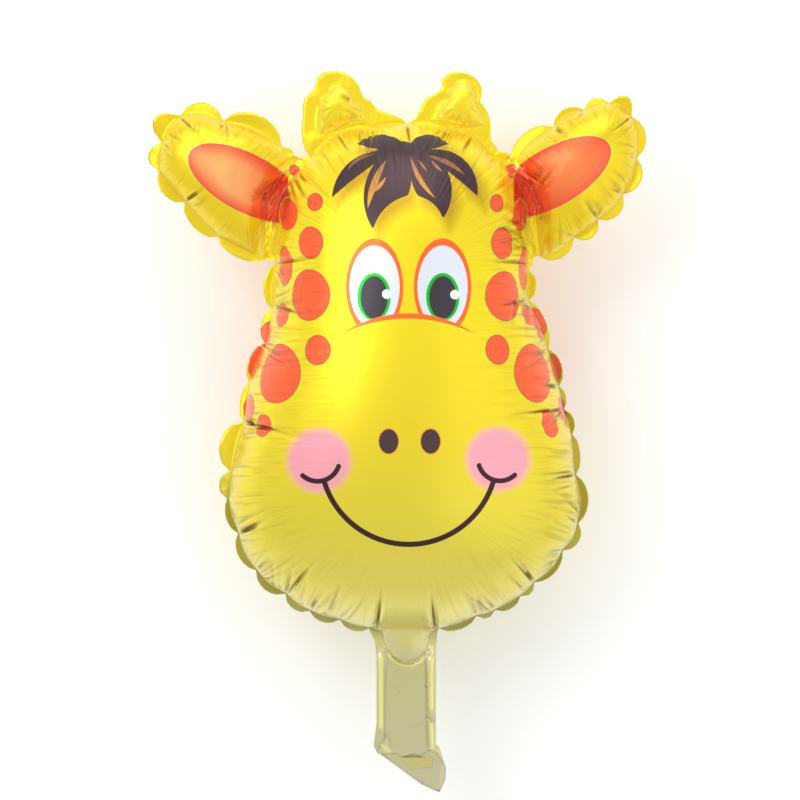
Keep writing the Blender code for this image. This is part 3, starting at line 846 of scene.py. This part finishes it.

# Fine wrinkles that run in from the weld, too small for the mesh. They start a little inside it.
# Their height feeds the bump, and their troughs get painted shade.
WRINKLE_SCALE = (0.36, 0.045)   # noise for each millimetre along the weld and in from it
wrinkles, wrinkles_in, wrinkles_out = new_group(
    "weld wrinkles", [("Weld", "NodeSocketVector")],
    [("Height", "NodeSocketFloat"), ("Trough", "NodeSocketFloat")])
weld_distance, weld_run, weld_fade = parts_of(wrinkles, wrinkles_in[0])
stretched = wrinkles.nodes.new("ShaderNodeCombineXYZ")
wrinkles.links.new((weld_run * WRINKLE_SCALE[0]).socket, stretched.inputs[0])
wrinkles.links.new((weld_distance * WRINKLE_SCALE[1]).socket, stretched.inputs[1])
ripples = wrinkles.nodes.new("ShaderNodeTexNoise")
ripples.noise_dimensions = "2D"
ripples.inputs["Scale"].default_value = 1
ripples.inputs["Detail"].default_value = 1
wrinkles.links.new(stretched.outputs[0], ripples.inputs["Vector"])
wrinkle_fade = weld_fade.calc("POWER", 0.8) * weld_distance.rise(-1.05, 5.95)
wrinkle = Value(wrinkles, ripples.outputs[0])
wrinkles.links.new((wrinkle * wrinkle_fade).socket, wrinkles_out[0])
trough_shade = wrinkle.rise(0.48, 0.28) * wrinkle_fade
wrinkles.links.new(trough_shade.socket, wrinkles_out[1])

# Along the first part of each long crease, where it nips the film together, a thin dark line of
# painted shadow marks its bottom
NIP_LENGTH = 0.55               # share of the crease's length
NIP_WIDTH = 0.15                # half width for each millimetre of the crease's depth
crease_shadows, crease_shadows_in, crease_shadows_out = new_group("nipped creases", [("Place", "NodeSocketVector")],
                                    [("Distance", "NodeSocketFloat")])
crease_shadow_lines = []
for x0, y0, x1, y1, depth in LONG_CREASES:
    end = (x0 + NIP_LENGTH * (x1 - x0), y0 + NIP_LENGTH * (y1 - y0))
    crease_shadow_lines.append(leaf(crease_shadows, crease_shadows_in[0], x0, y0, *end, NIP_WIDTH * depth, NIP_WIDTH * depth))
crease_shadows.links.new(together(crease_shadow_lines).socket, crease_shadows_out[0])

film_paint = bpy.data.materials.new("printed foil")
film_paint.use_nodes = True
paint = film_paint.node_tree
seen_place = attribute(paint, "seen")
printed_place = attribute(paint, "printed")
weld_place = attribute(paint, "weld")
seen_x, seen_y, _ = parts_of(paint, seen_place)
weld_in = parts_of(paint, weld_place)[0]
front = Value(paint, attribute(paint, "side", "Fac")).calc("GREATER_THAN", 0.05)
# The fold attribute holds painted shade above nought and painted highlight below it
fold = Value(paint, attribute(paint, "fold", "Fac"))

# The ground colour, from the tail up to the horns
LOWEST, HIGHEST = -210, 210
ramp = paint.nodes.new("ShaderNodeValToRGB")
paint.links.new(seen_y.rise(LOWEST, HIGHEST).socket, ramp.inputs[0])
GROUND = (
    (-210, (202, 196, 160)), (-135, (204, 198, 138)), (-116, (222, 214, 130)),
    (-107, (234, 224, 132)), (-92, (228, 214, 98)), (-60, (230, 214, 66)),
    (0, (242, 218, 38)), (60, (248, 225, 32)), (160, (248, 221, 30)),
)
ramp.color_ramp.elements.remove(ramp.color_ramp.elements[1])
for number, (y, shade) in enumerate(GROUND):
    position = (y - LOWEST) / (HIGHEST - LOWEST)
    stop = ramp.color_ramp.elements[0] if number == 0 else ramp.color_ramp.elements.new(position)
    stop.position = position
    stop.color = colour(*shade)

# Ears: a duller yellow, and a deep orange oval with a green and a pink rim, darker at the head
EAR_HALF_SIZE = (37.9, 16.9)
at_ears = (-(seen_x.calc("ABSOLUTE") - 80)).high(-(seen_y - 90)).inked(10)
base = ink(paint, ramp.outputs[0], at_ears, (0.94, 0.90, 0.72, 1), "MULTIPLY")
for x, y, lean, side, edge_x, root_x, peach in (
        (-87.4, 144.9, -28, "LESS_THAN", -63.5, -66, (255, 188, 112)),
        (90.8, 148.4, 30, "GREATER_THAN", 68, 70, (255, 140, 78))):
    ear = oval(paint, seen_place, x, y, *EAR_HALF_SIZE, lean)
    on_ear = seen_x.calc(side, edge_x)
    depth = (seen_x - root_x).calc("ABSOLUTE").rise(34, 0)
    inner = ink(paint, colour(255, 104, 66), (ear + 7).inked(11), colour(*peach))
    inner = ink(paint, inner, depth, colour(232, 56, 8))
    base = ink(paint, base, (ear - 0.9).inked() * on_ear, colour(192, 240, 30))
    base = ink(paint, base, ear.inked() * on_ear, colour(255, 84, 90))
    base = ink(paint, base, (ear + 0.9).inked(0.6) * on_ear, inner)

# Spots, with a thin green halo and a redder rim
spot_distance = Value(paint, use_group(paint, spots, Place=printed_place)["Distance"])
base = ink(paint, base, (spot_distance - 0.9).inked(), colour(190, 246, 20))
base = ink(paint, base, spot_distance.inked(), colour(255, 72, 78))
base = ink(paint, base, (spot_distance + 0.8).inked(0.6), colour(255, 104, 56))

# Face, on the front sheet only: eyes behind the muzzle's rim, nostrils, cheeks and mouth
face = base
muzzle = disc(paint, seen_place, 6.5, 0, 69)
brow = muzzle.high(-disc(paint, seen_place, 6.5, -22.7, 88.6))
for x, iris_x, glint_x, glint_y in ((-13.1, -13.4, -6.0, 80.2), (26.5, 26.6, 33.7, 79.9)):
    ring = oval(paint, seen_place, x, 84.3, 16.7, 28.3).high(-muzzle)
    face = ink(paint, face, ring.inked(), colour(255, 112, 48))
    white = oval(paint, seen_place, x, 84.3, 14.6, 24.2).high(-muzzle)
    face = ink(paint, face, white.inked(), colour(230, 236, 248))
    iris = oval(paint, seen_place, iris_x, 78.5, 9.7, 14).high(-muzzle)
    face = ink(paint, face, iris.inked(), colour(0, 196, 40))
    pupil = oval(paint, seen_place, iris_x, 78.2, 7.9, 12.5).high(-muzzle)
    face = ink(paint, face, pupil.inked(), colour(62, 58, 64))
    face = ink(paint, face, disc(paint, seen_place, glint_x, glint_y, 2.75).inked(),
               colour(250, 252, 255))
face = ink(paint, face, brow.inked(), colour(255, 116, 48))
for x in (-4.9, 19.5):
    nostril = oval(paint, seen_place, x, -5.6, 5.6, 7.1)
    face = ink(paint, face, (nostril - 0.5).inked(0.8), colour(252, 150, 40))
    face = ink(paint, face, nostril.inked(), colour(82, 58, 62))
for x, y in ((-45.5, -16.8), (58.8, -15.9)):
    face = ink(paint, face, disc(paint, seen_place, x, y, 18.4).inked(5), colour(252, 170, 182))
MOUTH = (
    (-42.4, -29.1, 6.7, -65.6, 56, -29.1, 3.1),
    (-55, -25.5, -45.2, -28.8, -34.1, -20.1, 2.9),
    (47.8, -19.6, 58.4, -28.5, 68.5, -25.2, 2.9),
)
for row in MOUTH:
    face = ink(paint, face, stroke(paint, seen_place, *row).inked(), colour(58, 30, 36))

# The tuft, and its soft shadow a little below it and to the right
beside = vector_calc(paint, "ADD", seen_place, (-3.5, 5, 0)).outputs[0]
shadow = Value(paint, use_group(paint, tuft, Place=beside)["Distance"]) - 1
tufted = use_group(paint, tuft, Place=seen_place)
in_tuft = Value(paint, tufted["Distance"]).inked()
face = ink(paint, face, shadow.inked(8) * 0.8, colour(188, 142, 20))
face = ink(paint, face, in_tuft, colour(72, 52, 56))
strand_colour = ink(paint, colour(140, 84, 70), seen_y.rise(163, 135), colour(206, 150, 52))
face = ink(paint, face, Value(paint, tufted["Strands"]).inked() * in_tuft, strand_colour)
base = ink(paint, base, front, face)

# The wrinkles are strongest on the flanks, and slighter on the chin and the ears. Painted shade
# darkens their troughs.
wrinkled = use_group(paint, wrinkles, Weld=weld_place)
flanks = seen_y.rise(-80, -50).calc("MULTIPLY_ADD", 0.6, 0.4)
wrinkling = flanks * at_ears.calc("MULTIPLY_ADD", -0.5, 1)
trough_shade = Value(paint, wrinkled["Trough"]) * wrinkling
base = ink(paint, base, trough_shade * 0.85, (0.50, 0.40, 0.24, 1), "MULTIPLY")

# Outside the weld, painted shade makes the film darker. Inside it a painted sheen fades in from
# the weld, and the weld itself gets a painted pale highlight line
flange_shade = (weld_in + 0.3).inked(0.6) * seen_y.rise(-122, -113)
low_down = seen_y.rise(100, 10)
turned = seen_y.rise(-20, -40).high(seen_x.calc("GREATER_THAN", 0))
base = ink(paint, base, flange_shade * low_down * turned * 0.55, colour(112, 100, 16))
off_neck = seen_y.rise(-140, -134)
# Painted sheen: the film is paler for a few millimetres inside the weld
sheen = (weld_in * (-1 / 3.2)).calc("EXPONENT") * weld_in.calc("GREATER_THAN", 0) * off_neck
base = ink(paint, base, sheen * (low_down * 0.32 + 0.10), colour(236, 232, 206))
# Painted highlight: a thin pale line along the weld
line = (weld_in - 0.4).calc("ABSOLUTE").rise(0.8, 0)
base = ink(paint, base, line * off_neck * 0.5, colour(240, 238, 216))

# Painted shade darkens the bottoms of the creases and the neck's tucks, with thin painted shadow
# lines in the long creases. Painted highlights lighten the creases' shoulders and the ridges of
# the neck's tucks
base = ink(paint, base, fold.calc("MULTIPLY", 0.6, clamp=True), colour(70, 56, 8))
# Thin painted shadow lines in the bottoms of the long creases, on the front sheet
crease_shadow = Value(paint, use_group(paint, crease_shadows, Place=seen_place)["Distance"])
base = ink(paint, base, crease_shadow.inked(0.5) * front * 0.8, colour(52, 42, 6))
base = ink(paint, base, fold.calc("MULTIPLY", -1.2, clamp=True), colour(255, 246, 150))

film_shader = paint.nodes["Principled BSDF"]
paint.links.new(base, film_shader.inputs["Base Color"])
film_shader.inputs["Metallic"].default_value = 0.62
film_shader.inputs["Roughness"].default_value = 0.34
film_shader.inputs["Coat Weight"].default_value = 0.12
film_shader.inputs["Coat Roughness"].default_value = 0.18
bump = paint.nodes.new("ShaderNodeBump")
bump.inputs["Strength"].default_value = 1
bump.inputs["Distance"].default_value = 0.0013
paint.links.new((Value(paint, wrinkled["Height"]) * wrinkling).socket, bump.inputs["Height"])
paint.links.new(bump.outputs[0], film_shader.inputs["Normal"])
envelope.data.materials.clear()
envelope.data.materials.append(film_paint)

# The valve film. A thin clear yellow strip between the sheets lets gas in and shuts behind it;
# only its dotted end shows, lying in the mouth of the neck.
valve = frame["nodes"]["valve_film"]
valve_paint = bpy.data.materials.new("valve film")
valve_paint.use_nodes = True
valve_tree = valve_paint.node_tree
valve_shader = valve_tree.nodes["Principled BSDF"]
place = valve_tree.nodes.new("ShaderNodeTexCoord").outputs["Object"]
dots = valve_tree.nodes.new("ShaderNodeTexVoronoi")
dots.voronoi_dimensions = "2D"
dots.inputs["Scale"].default_value = 900
dots.inputs["Randomness"].default_value = 0.1
valve_tree.links.new(place, dots.inputs["Vector"])
dotted = Value(valve_tree, dots.outputs["Distance"]).calc("LESS_THAN", 0.28)
valve_base = ink(valve_tree, colour(190, 180, 98), dotted, colour(204, 196, 132))
valve_tree.links.new(valve_base, valve_shader.inputs["Base Color"])
valve_shader.inputs["Roughness"].default_value = 0.35
for slot in valve.material_slots:
    slot.material = valve_paint
